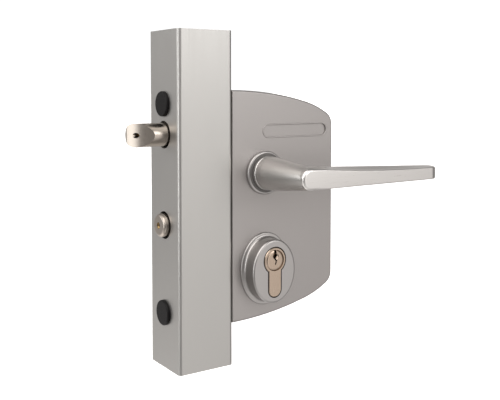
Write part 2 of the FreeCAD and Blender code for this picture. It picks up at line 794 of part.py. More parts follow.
def deadbolt_tail():
    """The plate let into the bolt, with the notch that the cam pushes and two detent notches."""
    half = tail_thick / 2
    left = tail_left()
    right = left + 2 * tail_lug + 2 * tail_notch_half()
    low = cylinder_z + cam_reach_height
    top = deadbolt_z + tail_top_above_axis
    rear = tube_half + tail_rear_from_tube
    plate = join([box(left, right, -half, half, low, top),
                  box(left, rear, -half, half, top - tail_bar_height, top)])
    notch = box(left + tail_lug, right - tail_lug, -half, half, low - over, cylinder_z + cam_r + loose_gap)
    pin = rod_y(-half, half, tail_pin_x(), deadbolt_z, tail_pin_r)
    tools = [notch, pin]
    for shift in (0, deadbolt_travel):
        tools.append(rod_y(-half, half, detent_x() + shift, top + detent_notch, 2 * detent_notch))
    return cut(plate, tools)


def detent_x():
    return tube_half + deadbolt_rear_from_tube + detent_behind_bolt


def detent_spring():
    """A leaf spring above the tail, with a round nub that drops into a notch of the tail."""
    top = deadbolt_z + tail_top_above_axis
    half = detent_half_width
    nub_r = 2 * detent_notch - detent_nub_gap
    nub_z = top + detent_notch
    hold_x = tube_half + case_edge - detent_pillar[0]
    hold_z = lock_mid_z + detent_pillar[1]
    hold_r = pillar_r + seat_gap
    leaf_z = hold_z - hold_r - detent_thick
    leaf = box(detent_x() - nub_r, hold_x, -half, half, leaf_z, leaf_z + detent_thick)
    eye = rod_y(-half, half, hold_x, hold_z, hold_r + detent_thick)
    nub = rod_y(-half, half, detent_x(), nub_z, nub_r)
    stalk = box(detent_x() - detent_thick, detent_x() + detent_thick, -half, half, nub_z, leaf_z)
    return join([leaf, eye, nub, stalk]).cut(rod_y(-half, half, hold_x, hold_z, hold_r))


def tail_pin():
    length = math.sqrt(bolt_r ** 2 - tail_pin_r ** 2)
    return rod_y(-length, length, tail_pin_x(), deadbolt_z, tail_pin_r - seat_gap)


# Profile cylinder

def cylinder_body():
    """Both halves of the cylinder, joined under the cam by a bridge that takes the fixing screw."""
    body = profile_prism(0, -cylinder_half_length, cylinder_half_length)
    body = body.makeChamfer(profile_chamfer, flat_edges(body, 1, -cylinder_half_length) +
                            flat_edges(body, 1, cylinder_half_length))
    gap = rod_y(-cylinder_gap_half, cylinder_gap_half, axis_x, cylinder_z, cam_r + loose_gap)
    bore_end = cylinder_half_length + over
    bore = rod_y(-bore_end, bore_end, axis_x, cylinder_z, plug_r + run_gap)
    thread = rod_x(axis_x - profile_stem_half, axis_x + profile_stem_half, 0, cylinder_screw_z,
                   cylinder_screw_r + seat_gap)
    return cut(body, [gap, bore, thread])


def keyway():
    """The stepped slot for the key, from the top of the plug to below its centre."""
    steps = [(0.0, plug_r + over)] + keyway_steps
    side = [V(x - keyway_half, 0, z) for x, z in steps]
    side += [V(x + keyway_half, 0, z) for x, z in reversed(steps)]
    slot = Part.Face(Part.makePolygon(side + [side[0]])).extrude(V(0, keyway_depth, 0))
    slot.translate(V(axis_x, -cylinder_half_length, cylinder_z))
    return slot


def front_plug():
    plug = rod_y(-cylinder_half_length, -cylinder_gap_half - seat_gap, axis_x, cylinder_z, plug_r)
    plug = plug.makeChamfer(plug_chamfer, flat_edges(plug, 1, -cylinder_half_length))
    tail = rod_y(-cylinder_gap_half - seat_gap, -drive_gap, axis_x, cylinder_z, plug_tail_r)
    return join([plug, tail]).cut(keyway())


def cylinder_cam():
    ring = rod_y(-cam_half, cam_half, axis_x, cylinder_z, cam_ring_r)
    nose = box(axis_x - cam_nose_half, axis_x + cam_nose_half, -cam_half, cam_half,
               cylinder_z - cam_r, cylinder_z)
    sweep = rod_y(-cam_half, cam_half, axis_x, cylinder_z, cam_r)
    cam = join([ring, nose.common(sweep)])
    return cam.cut(rod_y(-cam_half, cam_half, axis_x, cylinder_z, plug_tail_r + run_gap))


def cylinder_screw():
    sink = cylinder_screw_head_r - cylinder_screw_r
    end = axis_x + profile_stem_half - cylinder_screw_end_gap
    shank = rod_x(plate_left + sink, end, 0, cylinder_screw_z, cylinder_screw_r)
    head = Part.makeCone(cylinder_screw_head_r, cylinder_screw_r, sink,
                         V(plate_left, 0, cylinder_screw_z), V(1, 0, 0))
    socket = hexagon(cylinder_screw_socket, cylinder_screw_socket_depth,
                     V(plate_left, 0, cylinder_screw_z), V(1, 0, 0))
    return join([head, shank]).cut(socket)


# Near-side furniture; the far side is its mirror image

def rosette():
    face_y = -cover_half_depth - rosette_depth
    base_y = -cover_half_depth - rosette_ring_thick
    ring = oval_prism(rosette_ring_half_width, rosette_ring_half_height, base_y, -cover_half_depth)
    ring = ring.makeFillet(rosette_ring_edge_r, flat_edges(ring, 1, base_y))
    boss = oval_prism(rosette_half_width, rosette_half_height, face_y, -cover_half_depth)
    boss = boss.makeFillet(rosette_edge_r, flat_edges(boss, 1, face_y))
    tools = [profile_prism(rosette_gap, face_y - over, -cover_half_depth + over)]
    for x in rosette_screw_xs:
        tools.append(rod_y(-cover_half_depth - rosette_screw_length, -cover_half_depth, x,
                           rosette_screw_z, cover_screw_r + seat_gap))
    body = join([ring, boss])
    foot = [edge for edge in flat_edges(body, 1, base_y)
            if edge.BoundBox.ZMax < rosette_z + rosette_half_height + small_edge_r]
    return cut(body.makeFillet(rosette_cove_r, foot), tools)


def rosette_screw(x):
    head_y = -inner_depth
    head = rod_y(head_y, head_y + case_screw_head, x, rosette_screw_z, case_screw_head_r)
    shank_y = -cover_half_depth - rosette_screw_length + rosette_screw_end_gap
    shank = rod_y(shank_y, head_y, x, rosette_screw_z, cover_screw_r)
    return join([head, shank])


def handle_ring():
    """A rounded ring round the handle's neck, with a sleeve that holds the bush in the cover."""
    front_y = -cover_half_depth - ring_proud
    flange = rod_y(front_y, -cover_half_depth, axis_x, handle_z, ring_r)
    flange = flange.makeFillet(ring_edge_r, flat_edges(flange, 1, front_y))
    sleeve = rod_y(-cover_half_depth, -ring_sleeve_depth, axis_x, handle_z, ring_sleeve_r)
    return join([flange, sleeve]).cut(rod_y(front_y, -ring_sleeve_depth, axis_x, handle_z, ring_bore_r))


def handle_bush():
    bush = rod_y(-bush_depth_end, -bush_depth_start, axis_x, handle_z, ring_bore_r - seat_gap)
    return bush.cut(rod_y(-bush_depth_end, -bush_depth_start, axis_x, handle_z, spigot_r + run_gap))


def lever_outline(depth, root_top, mid_top, tip_top, end_x):
    """The lever's outline at one depth: round root, straight lower edge and hollow upper edge."""
    low = handle_z - lever_bottom
    start = V(axis_x, -depth, handle_z + root_top)
    middle = V(tube_half + lever_mid_from_tube, -depth, handle_z + mid_top)
    top_end = V(end_x, -depth, handle_z + tip_top)
    low_end = V(end_x, -depth, handle_z - lever_tip_bottom)
    low_start = V(axis_x, -depth, low)
    root = V(axis_x - (root_top + lever_bottom) / 2, -depth, (start.z + low) / 2)
    edges = [Part.Arc(start, middle, top_end).toShape(), Part.makeLine(top_end, low_end),
             Part.makeLine(low_end, low_start), Part.Arc(low_start, root, start).toShape()]
    return Part.Wire(edges)


def tip_corner(end_x, y, r):
    """What rounding the lever's end takes off; r is negative at the back."""
    y0, y1 = sorted([y - math.copysign(over, r), y + r])
    z0 = handle_z - 2 * lever_bottom
    z1 = handle_z + 2 * lever_bottom
    corner = box(end_x - abs(r), end_x + over, y0, y1, z0, z1)
    return corner.cut(Part.makeCylinder(abs(r), z1 - z0, V(end_x - abs(r), y + r, z0)))


def lever():
    end_x = tube_half + lever_end_from_tube
    face = lever_outline(lever_face_depth, lever_face_root_top, lever_face_mid_top,
                         lever_face_tip_top, end_x)
    back = lever_outline(lever_back_depth, lever_back_root_top, lever_back_mid_top,
                         lever_back_tip_top, end_x)
    bar = Part.makeLoft([face, back], True, True)
    bar = bar.cut(tip_corner(end_x, -lever_face_depth, lever_tip_face_r))
    bar = bar.cut(tip_corner(end_x, -lever_back_depth, -lever_tip_back_r))
    rim = [edge for edge in flat_edges(bar, 1, -lever_face_depth) if edge.BoundBox.XLength > lever_face_r]
    return bar.makeFillet(lever_face_r, rim)


def handle():
    """A lever handle: spigot, flange, stepped neck that runs into a cone, and a flat-faced lever."""
    spigot = rod_y(-neck_flange_depth, -bush_depth_start, axis_x, handle_z, spigot_r)
    flange = rod_y(-neck_flange_end, -neck_flange_depth, axis_x, handle_z, neck_flange_r)
    flange = flange.makeFillet(neck_flange_edge_r, flat_edges(flange, 1, -neck_flange_end))
    base = rod_y(-neck_base_end, -neck_flange_end, axis_x, handle_z, neck_base_r)
    neck = cone_y(-lever_face_depth + lever_face_r, -neck_base_end, axis_x, handle_z,
                  neck_end_r, neck_base_r)
    body = join([spigot, flange, base, neck, lever()])
    socket = square_y(-spindle_half_length - over, -bush_depth_start, spindle_side / 2 + seat_gap)
    grub = Part.makeCylinder(grub_r + seat_gap, 2 * neck_flange_r,
                             V(axis_x, -grub_depth, handle_z), V(0, 0, -1))
    return cut(body, [socket, grub])


def grub_screw():
    start = V(axis_x, -grub_depth, handle_z - spindle_side / 2 - seat_gap)
    screw = Part.makeCylinder(grub_r, grub_length, start, V(0, 0, -1))
    socket = hexagon(grub_socket, grub_socket_depth, start + V(0, 0, -grub_length), V(0, 0, 1))
    return screw.cut(socket)


# Write every piece

save("gate_tube", gate_tube())
save("lower_hole_cap", hole_cap(fixing_zs[0]))
save("upper_hole_cap", hole_cap(fixing_zs[1]))
save("fixing_screws", [fixing_screw(z) for z in fixing_zs])
save("fixing_washers", [fixing_washer(z) for z in fixing_zs])

save("front_cover", front_cover())
save("rear_cover", rear_cover())
save("cover_screws", [cover_screw(x, z) for x, z in post_places])

save("face_plate", face_plate())
near_plate = case_plate_near()
save("case_plate_near", near_plate)
save("case_plate_far", far_side(near_plate))
save("case_pillars", [case_pillar(x, z) for x, z in pillar_places])
near_screws = [case_screw(x, z) for x, z in case_screw_places()]
save("case_screws", near_screws + [far_side(screw) for screw in near_screws])
save("latch_bush", bolt_bush(latch_z))
save("deadbolt_bush", bolt_bush(deadbolt_z).cut(tail_pocket()))

save("latch_bolt", latch_bolt())
save("latch_screw", socket_screw_x(bevel_start_x - latch_screw_before_heel, latch_z,
                                   latch_screw_r - seat_gap))
save("spring_stop", spring_stop())
save("latch_spring", latch_spring())

save("follower", follower())
save("spindle", spindle())
save("handle_spring", handle_spring())

save("deadbolt", deadbolt())
deadbolt_screw_x = -tube_half - deadbolt_proud + bolt_screw_sunk
save("deadbolt_screw", socket_screw_x(deadbolt_screw_x, deadbolt_z, deadbolt_screw_r))
save("deadbolt_tail", deadbolt_tail())
save("tail_pin", tail_pin())
save("detent_spring", detent_spring())

save("cylinder_body", cylinder_body())
near_plug = front_plug()
save("front_plug", near_plug)
save("rear_plug", far_side(near_plug))
save("cylinder_cam", cylinder_cam())
save("cylinder_screw", cylinder_screw())

near_furniture = {"rosette": rosette(), "handle_ring": handle_ring(), "handle_bush": handle_bush(),
                  "handle": handle(), "handle_screw": grub_screw()}
for name, shape in near_furniture.items():
    save("front_" + name, shape)
    save("rear_" + name, far_side(shape))
near_rosette_screws = [rosette_screw(x) for x in rosette_screw_xs]
save("rosette_screws", near_rosette_screws + [far_side(screw) for screw in near_rosette_screws])
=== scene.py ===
# %% [markdown]
# # A gate lock in its finishes
# The construction model already holds every piece of the lock at its real size. This lesson dresses it:
# a camera and soft lamps first, then one finish after another, and last the few forms that a mesh shows
# better than the plain solids do. Everything is in metres, in the same place as the construction model.

import json
import math

import bpy
import numpy as np
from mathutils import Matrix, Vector


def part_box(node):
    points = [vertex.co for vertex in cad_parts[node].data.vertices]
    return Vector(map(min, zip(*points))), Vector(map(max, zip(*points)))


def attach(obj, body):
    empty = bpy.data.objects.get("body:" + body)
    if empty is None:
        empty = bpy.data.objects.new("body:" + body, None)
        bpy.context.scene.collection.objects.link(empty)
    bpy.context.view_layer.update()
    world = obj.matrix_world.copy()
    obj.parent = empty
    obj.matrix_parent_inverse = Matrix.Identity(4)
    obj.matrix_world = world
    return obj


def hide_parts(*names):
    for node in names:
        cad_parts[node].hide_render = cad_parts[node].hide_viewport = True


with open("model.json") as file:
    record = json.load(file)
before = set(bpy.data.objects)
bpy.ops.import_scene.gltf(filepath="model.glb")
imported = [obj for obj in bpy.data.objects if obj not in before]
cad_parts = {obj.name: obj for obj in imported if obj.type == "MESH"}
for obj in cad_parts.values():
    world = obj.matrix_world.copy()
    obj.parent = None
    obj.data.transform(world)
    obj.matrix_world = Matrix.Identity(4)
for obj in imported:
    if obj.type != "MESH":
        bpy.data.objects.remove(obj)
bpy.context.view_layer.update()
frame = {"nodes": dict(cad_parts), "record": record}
nodes = frame["nodes"]
MM = 0.001
print("pieces in the frame:", len(nodes))

# %% [markdown]
# ## The camera
# The picture is 500 pixels wide and 400 high. Its point of view was found from the tube's straight edges and
# the round holes in it: 34 degrees to the left of the lock and a little above its middle. The lens is long,
# about one and a half times a normal one, so the handle is only a little larger than the pieces behind it.
# The upright edges stay parallel because the camera looks almost level and its frame is shifted downwards.

# %% Camera
IMAGE_WIDTH = 500
CAMERA_PLACE = Vector((-252.48, -450.20, 181.84)) * MM
CAMERA_LOOK = Vector((0.55304, 0.83176, -0.04833))
FOCAL_PIXELS = 781.53
HORIZON_SHIFT_PIXELS = -72.81
SENSOR_WIDTH_MM = 36.0

camera_data = bpy.data.cameras.new("camera")
camera_data.sensor_width = SENSOR_WIDTH_MM
camera_data.lens = FOCAL_PIXELS / IMAGE_WIDTH * SENSOR_WIDTH_MM
camera_data.shift_y = HORIZON_SHIFT_PIXELS / IMAGE_WIDTH
camera_data.clip_start = 0.01
camera_data.clip_end = 100.0
camera = bpy.data.objects.new("camera", camera_data)
camera.location = CAMERA_PLACE
camera.rotation_euler = CAMERA_LOOK.to_track_quat("-Z", "Y").to_euler()
bpy.context.scene.collection.objects.link(camera)
bpy.context.scene.camera = camera
print("lens in mm:", round(camera_data.lens, 1))

# %% [markdown]
# ## Colours and nodes
# Colours are easiest to pick as the hex values that a paint program shows, but shaders mix light, which is
# linear. One function turns the one into the other. A second function adds a shader node with its settings
# and its links, so that each finish below reads as a short list. The node that mixes two colours keeps them
# at its sockets 6 and 7 and gives the result at its socket 2, so these three numbers get names.

# %% Two helpers for finishes
COLOUR_A, COLOUR_B, MIXED_COLOUR = 6, 7, 2


def linear(hex_colour):
    values = []
    for i in (0, 2, 4):
        c = int(hex_colour[i:i + 2], 16) / 255
        values.append(c / 12.92 if c <= 0.04045 else ((c + 0.055) / 1.055) ** 2.4)
    return (*values, 1.0)


def add(tree, kind, settings=None, links=None):
    """Add a node. A setting is a property by name, or a socket by name or number."""
    node = tree.nodes.new("ShaderNode" + kind)
    for key, value in (settings or {}).items():
        if isinstance(key, int) or key in node.inputs:
            node.inputs[key].default_value = value
        else:
            setattr(node, key, value)
    for key, source in (links or {}).items():
        output = source.outputs[0] if isinstance(source, bpy.types.Node) else source
        tree.links.new(output, node.inputs[key])
    return node


# %% [markdown]
# ## The room
# Metal has no look of its own: it shows what stands round it. So the room is given as three rings of greys
# that the metal can mirror: one level with the lock, one high above it and one low. Level with the lock, the
# front right is bright, which lights the tube's and the casing's faces, and the side where the photographer
# stands is dark. High up, the left is brightest. Each grey has its angle, where 0 degrees is in front of the
# lock, 90 is to its right and -90 to its left.

# %% Greys of the room
ROOM_LEVEL = [(-180, 0.44), (-150, 0.52), (-120, 0.28), (-90, 0.12), (-65, 0.12), (-40, 0.32),
              (-10, 0.12), (20, 1.56), (45, 0.84), (75, 0.12), (110, 0.55), (145, 0.85)]
ROOM_HIGH = [(-180, 0.30), (-120, 1.19), (-60, 3.46), (0, 1.45), (60, 0.35), (120, 0.15)]
ROOM_LOW = [(-180, 1.28), (-120, 1.81), (-60, 0.54), (0, 1.04), (60, 0.52), (120, 0.60)]
BRIGHTEST = 4.0


def ring_of_greys(tree, turn, greys):
    """Brightness all round, from -180 degrees at the back over 0 in front to the back again."""
    ring = add(tree, "ValToRGB", links={0: turn})
    ring.color_ramp.interpolation = "EASE"
    stops = ring.color_ramp.elements
    stops[0].color = stops[1].color = (greys[0][1] / BRIGHTEST,) * 3 + (1,)
    for degrees, brightness in greys[1:]:
        stops.new(degrees / 360 + 0.5).color = (brightness / BRIGHTEST,) * 3 + (1,)
    print("ring of", len(greys), "greys")
    return ring


# %% [markdown]
# The direction of a ray says where it meets the room. Its X and Y give the angle round the lock, and its Z
# says how much of the high or the low ring it meets. The lock is lit by these greys and mirrors them, while
# the camera itself sees plain white round it. The greys have a trace of warmth, as light from a lamp has.

# %% Room
HIGH_START, HIGH_FULL = 0.15, 0.65
ROOM_TINGE = "fffbf9"
BACKDROP_GLOW = 1.1

world = bpy.data.worlds.new("room")
bpy.context.scene.world = world
world.use_nodes = True
room = world.node_tree
room.nodes.clear()
direction = add(room, "TexCoord")
ray = add(room, "SeparateXYZ", links={0: direction.outputs["Generated"]})
towards_front = add(room, "Math", {"operation": "MULTIPLY", 1: -1.0}, {0: ray.outputs["Y"]})
angle = add(room, "Math", {"operation": "ARCTAN2"}, {0: ray.outputs["X"], 1: towards_front})
turn = add(room, "MapRange", {"From Min": -math.pi, "From Max": math.pi}, {"Value": angle})
up = add(room, "MapRange", {"From Min": HIGH_START, "From Max": HIGH_FULL}, {"Value": ray.outputs["Z"]})
down = add(room, "MapRange", {"From Min": -HIGH_START, "From Max": -HIGH_FULL}, {"Value": ray.outputs["Z"]})
level_or_high = add(room, "Mix", {"data_type": "RGBA"}, {
    "Factor": up, COLOUR_A: ring_of_greys(room, turn, ROOM_LEVEL),
    COLOUR_B: ring_of_greys(room, turn, ROOM_HIGH)})
all_round = add(room, "Mix", {"data_type": "RGBA"}, {
    "Factor": down, COLOUR_A: level_or_high.outputs[MIXED_COLOUR],
    COLOUR_B: ring_of_greys(room, turn, ROOM_LOW)})
tinged = add(room, "VectorMath", {"operation": "MULTIPLY", 1: linear(ROOM_TINGE)[:3]},
             {0: all_round.outputs[MIXED_COLOUR]})
mirrored = add(room, "Background", {"Strength": BRIGHTEST}, {"Color": tinged})
seen = add(room, "Background", {"Color": linear("ffffff"), "Strength": BACKDROP_GLOW})
path = add(room, "LightPath")
shown = add(room, "MixShader", links={0: path.outputs["Is Camera Ray"], 1: mirrored, 2: seen})
add(room, "OutputWorld", links={"Surface": shown})

# %% [markdown]
# ## The floor
# A small product is often photographed on a sweep of white paper. This floor is so large that its edge never
# shows. It glows softly, which makes it plain white without a shadow's edge, and it is kept out of the
# metal's reflections, because the low ring of greys already stands for it there.

# %% Floor
FLOOR_HALF = 30.0
FLOOR_GLOW = 0.75
PAPER_ROUGHNESS = 0.9

floor_mesh = bpy.data.meshes.new("floor")
floor_mesh.from_pydata([(-FLOOR_HALF, -FLOOR_HALF, 0), (FLOOR_HALF, -FLOOR_HALF, 0),
                        (FLOOR_HALF, FLOOR_HALF, 0), (-FLOOR_HALF, FLOOR_HALF, 0)], [], [(0, 1, 2, 3)])
floor = bpy.data.objects.new("floor", floor_mesh)
bpy.context.scene.collection.objects.link(floor)
floor_paper = bpy.data.materials.new("white_paper")
floor_paper.use_nodes = True
paper = floor_paper.node_tree.nodes["Principled BSDF"]
paper.inputs["Base Color"].default_value = linear("f4f4f2")
paper.inputs["Roughness"].default_value = PAPER_ROUGHNESS
paper.inputs["Emission Color"].default_value = linear("ffffff")
paper.inputs["Emission Strength"].default_value = FLOOR_GLOW
floor_mesh.materials.append(floor_paper)
floor.visible_glossy = False
floor.visible_diffuse = False
bpy.context.scene.view_settings.view_transform = "Standard"
print("floor in metres:", 2 * FLOOR_HALF)

# %% [markdown]
# ## The lamps
# Three large soft lamps stand round the lock. The left one, a little behind, lights the tube's narrow side.
# The front one stands high on the right, where the faces and the rounded edges mirror it. The edge lamp
# stands level on the left: the latch's bevel faces further left than the camera stands, and mirrors it.

# %% Lamps
LOCK_MIDDLE = Vector((0.03, 0.0, 0.11))
# Azimuth and elevation in degrees, distance, width and height in metres, and light per area.
LAMPS = {"left_lamp": (-118, 15, 1.3, 0.8, 0.5, 1.88),
         "front_lamp": (28, 22, 1.3, 0.46, 0.6, 2.6),
         "edge_lamp": (-80, 2, 1.3, 0.55, 0.8, 3.1)}


def softbox(name, azimuth, elevation, distance, width, height, radiance):
    """A rectangular lamp that looks at the lock. 0 degrees is in front, and 90 is to the right."""
    lamp = bpy.data.lights.new(name, "AREA")
    lamp.shape = "RECTANGLE"
    lamp.size = width
    lamp.size_y = height
    lamp.energy = radiance * math.pi * width * height
    holder = bpy.data.objects.new(name, lamp)
    a, e = math.radians(azimuth), math.radians(elevation)
    way = Vector((math.sin(a) * math.cos(e), -math.cos(a) * math.cos(e), math.sin(e)))
    holder.location = LOCK_MIDDLE + distance * way
    holder.rotation_euler = (-way).to_track_quat("-Z", "Y").to_euler()
    bpy.context.scene.collection.objects.link(holder)
    print(name, "power in W:", round(lamp.energy, 2))


for name, values in LAMPS.items():
    softbox(name, *values)

# %% [markdown]
# ## A start for every finish
# Each finish is a material with one main shader. All patterns are placed by the piece's own coordinates,
# which are metres here, so a grain of 0.3 mm stays 0.3 mm on every piece. Each pattern is noise, stretched
# along the way that the tool or the die ran, and it changes the roughness and the bump more than the colour.
# One pixel of the picture is about 0.7 mm wide, and most real grains on this lock are finer than a tenth of
# that. Drawn so fine they would vanish, so they are drawn from a quarter to a half of a millimetre wide.

# %% Helpers for grain
NOISE_LOW, NOISE_HIGH = 0.3, 0.7
FINE_SHARE = 0.6


def new_finish(name, colour, metallic, roughness):
    finish = bpy.data.materials.new(name)
    finish.use_nodes = True
    tree = finish.node_tree
    shader = tree.nodes["Principled BSDF"]
    shader.inputs["Base Color"].default_value = linear(colour)
    shader.inputs["Metallic"].default_value = metallic
    shader.inputs["Roughness"].default_value = roughness
    print("finish:", name)
    return finish, tree, shader


def grain(tree, size_mm, detail=3.0):
    """Noise whose grains have these sizes in millimetres along X, Y and Z."""
    place = add(tree, "TexCoord")
    scaled = add(tree, "Mapping", {"Scale": [1 / (size * MM) for size in size_mm]},
                 {"Vector": place.outputs["Object"]})
    return add(tree, "TexNoise", {"Scale": 1.0, "Detail": detail, "Roughness": FINE_SHARE},
               {"Vector": scaled})


# %% [markdown]
# Three more helpers lead such a pattern to the roughness, to the colour and to the bump. The noise hardly
# ever leaves the range from 0.3 to 0.7, so that range is spread over the two values that are asked for.

# %% Helpers that use a grain
def vary(tree, shader, pattern, socket, low, high):
    """Let a pattern move one number of the shader between two values."""
    spread = add(tree, "MapRange", {"From Min": NOISE_LOW, "From Max": NOISE_HIGH,
                                    "To Min": low, "To Max": high}, {"Value": pattern.outputs[0]})
    tree.links.new(spread.outputs[0], shader.inputs[socket])


def tint(tree, shader, pattern, dark, light):
    """Let a pattern move the colour between two close shades."""
    mix = add(tree, "Mix", {"data_type": "RGBA", COLOUR_A: linear(dark), COLOUR_B: linear(light)},
              {0: pattern.outputs[0]})
    tree.links.new(mix.outputs[MIXED_COLOUR], shader.inputs["Base Color"])


def emboss(tree, shader, pattern, depth_mm):
    """Raise the surface by a pattern, with its depth in millimetres."""
    bump = add(tree, "Bump", {"Strength": 1.0, "Distance": depth_mm * MM}, {"Height": pattern.outputs[0]})
    tree.links.new(bump.outputs[0], shader.inputs["Normal"])


# %% [markdown]
# ## Tube: aluminium extrusion, satin anodised
# The tube is pressed hot through a die, which leaves fine straight lines along its whole length. Then it is
# etched matt and anodised. The eye gets a bright, soft sheen with faint upright streaks, so the noise is
# stretched along Z and drives the roughness. A radial brush pattern would be wrong here. Real die lines are
# under 0.1 mm wide, and they are drawn 0.5 mm wide so that they show.

# %% Anodised extrusion
anodised_extrusion, tree, shader = new_finish("anodised_extrusion", "b6b5b3", 1.0, 0.40)
die_lines = grain(tree, (0.5, 0.5, 60), 2.0)
vary(tree, shader, die_lines, "Roughness", 0.36, 0.46)
tint(tree, shader, die_lines, "b3b2af", "bab9b6")
emboss(tree, shader, die_lines, 0.012)

# %% [markdown]
# ## Casing: die-cast aluminium, silver powder coat
# The covers are cast and then sprayed with a polyester powder that holds aluminium flakes. Baked, it has a
# very fine grain and a soft shine, darker than the bare metal beside it. The flakes are far below a pixel,
# so they are drawn 0.4 mm wide, as coarse as they need to be to show at all.

# %% Silver powder coat
silver_powder_coat, tree, shader = new_finish("silver_powder_coat", "a7a3a1", 0.9, 0.42)
flakes = grain(tree, (0.4, 0.4, 0.4))
vary(tree, shader, flakes, "Roughness", 0.40, 0.50)
tint(tree, shader, flakes, "a3a09e", "aba7a5")
emboss(tree, shader, flakes, 0.02)

# %% [markdown]
# ## Handle: cast aluminium, ground and satin anodised
# The lever's flat face is ground lengthwise on a belt, so its scratches run along X, drawn 0.35 mm wide in
# place of a few hundredths. The neck is turned. Anodising closes both to a pale satin, the brightest metal
# on the lock.

# %% Ground aluminium
ground_aluminium, tree, shader = new_finish("ground_aluminium", "d9d7d3", 1.0, 0.32)
belt_lines = grain(tree, (14, 0.35, 0.35))
vary(tree, shader, belt_lines, "Roughness", 0.27, 0.37)
tint(tree, shader, belt_lines, "d4d2cf", "dedcd9")
emboss(tree, shader, belt_lines, 0.012)

# %% [markdown]
# ## Rosettes and rings: turned aluminium, satin anodised
# These are turned and etched, with no direction that the eye can see: a plain satin grey, bright on rounded
# edges and dark on the walls, where it mirrors the casing. The etch's pits are microscopic, and they are
# drawn 0.5 mm wide.

# %% Etched aluminium
etched_aluminium, tree, shader = new_finish("etched_aluminium", "aca9a7", 1.0, 0.34)
etch = grain(tree, (0.5, 0.5, 0.5))
vary(tree, shader, etch, "Roughness", 0.30, 0.39)
tint(tree, shader, etch, "a7a4a2", "b0aeac")
emboss(tree, shader, etch, 0.01)

# %% [markdown]
# ## Hole plugs: nylon, injection moulded, black
# Moulded nylon is never glossy, because the mould is sparked, and the fine pits that this leaves swallow
# most of the light that smooth nylon would mirror. So its specular level is set low, and the plugs show a
# weak grey sheen on their round edges and stay nearly black on their faces. The pits are drawn 0.35 mm wide.

# %% Black moulded nylon
NYLON_IOR = 1.53
SPARKED_SPECULAR = 0.15

black_nylon, tree, shader = new_finish("black_nylon", "100f10", 0.0, 0.45)
shader.inputs["IOR"].default_value = NYLON_IOR
shader.inputs["Specular IOR Level"].default_value = SPARKED_SPECULAR
spark = grain(tree, (0.35, 0.35, 0.35))
vary(tree, shader, spark, "Roughness", 0.40, 0.55)
emboss(tree, shader, spark, 0.02)

# %% [markdown]
# ## Bolts: stainless steel, turned and tumbled
# Stainless steel is a little warmer than aluminium and darker. The lathe leaves rings round the bolt, drawn
# 0.4 mm wide, and tumbling turns the sharp edges soft and the surface slightly cloudy, which is what keeps it
# from looking like chrome. The bevel and the flat ends are milled, not turned, and stay more matt than the
# round sides. A surface is one of them where it faces the keeper, along -X, so its own direction tells the
# roughness.

# %% Turned stainless steel
SIDE_ROUGHNESS, END_ROUGHNESS, CLOUD_ROUGHNESS = 0.24, 0.30, 0.04
SIDE_WAY, END_WAY = -0.1, -0.6

turned_steel, tree, shader = new_finish("turned_steel", "aba39b", 1.0, 0.25)
lathe = grain(tree, (0.4, 12, 12), 2.0)
cloud = grain(tree, (2.5, 2.5, 2.5), 2.0)
facing = add(tree, "SeparateXYZ", links={0: add(tree, "TexCoord").outputs["Normal"]})
side_or_end = add(tree, "MapRange", {"From Min": SIDE_WAY, "From Max": END_WAY,
                                     "To Min": SIDE_ROUGHNESS, "To Max": END_ROUGHNESS},
                  {"Value": facing.outputs["X"]})
clouded = add(tree, "Math", {"operation": "MULTIPLY_ADD", 1: 2 * CLOUD_ROUGHNESS, 2: -CLOUD_ROUGHNESS},
              {0: cloud.outputs[0]})
roughness = add(tree, "Math", {"operation": "ADD"}, {0: side_or_end, 1: clouded})
tree.links.new(roughness.outputs[0], shader.inputs["Roughness"])
tint(tree, shader, cloud, "a69e95", "b1a9a0")
emboss(tree, shader, lathe, 0.002)

# %% [markdown]
# ## Fixings: steel, zinc plated
# Zinc plating is bright, slightly blue and never quite even, so a blotchy noise of 2 mm moves its roughness.

# %% Zinc plated steel
zinc_plate, tree, shader = new_finish("zinc_plate", "b4b6b8", 1.0, 0.30)
blotches = grain(tree, (2, 2, 2))
vary(tree, shader, blotches, "Roughness", 0.22, 0.40)
tint(tree, shader, blotches, "a9abae", "bdbfc1")

# %% [markdown]
# ## Lock case: stainless steel sheet, cold rolled
# Rolled sheet has a dull, even shine with fine lines along the rolling direction, which is upright here. The
# lines are drawn 0.4 mm wide, far wider than they are.

# %% Rolled steel sheet
rolled_sheet, tree, shader = new_finish("rolled_sheet", "a3a19d", 1.0, 0.38)
rolling = grain(tree, (0.4, 0.4, 20))
vary(tree, shader, rolling, "Roughness", 0.32, 0.44)
tint(tree, shader, rolling, "9c9a96", "aaa8a4")
emboss(tree, shader, rolling, 0.01)

# %% [markdown]
# ## Bolt screws: brass, bare
# Brass is the one warm colour on the lock. It is turned from bar and left bare, and it tarnishes a bit in
# patches of about a millimetre, which take some of its shine.

# %% Bare brass
bare_brass, tree, shader = new_finish("bare_brass", "d6bc84", 1.0, 0.28)
tarnish = grain(tree, (1.2, 1.2, 1.2))
vary(tree, shader, tarnish, "Roughness", 0.22, 0.38)
tint(tree, shader, tarnish, "c4a566", "e2cc9a")

# %% [markdown]
# ## Cylinder: brass, nickel plated with a champagne tone
# The cylinder is milled brass under a thin, warm nickel layer. Its face is belt ground up and down, with
# scratches drawn 0.25 mm wide, and the brass below keeps the nickel a little pink.

# %% Champagne nickel
champagne_nickel, tree, shader = new_finish("champagne_nickel", "b4a391", 1.0, 0.24)
belt = grain(tree, (0.25, 0.25, 5))
vary(tree, shader, belt, "Roughness", 0.20, 0.28)
tint(tree, shader, belt, "ac9b8a", "bbaa9a")
emboss(tree, shader, belt, 0.01)

# %% [markdown]
# ## Springs: patented drawn steel wire
# Drawn wire is a dark, smooth grey with a trace of oil. The oil lies on it unevenly, in spots of about half a
# millimetre, and the wire is shinier where there is more of it.

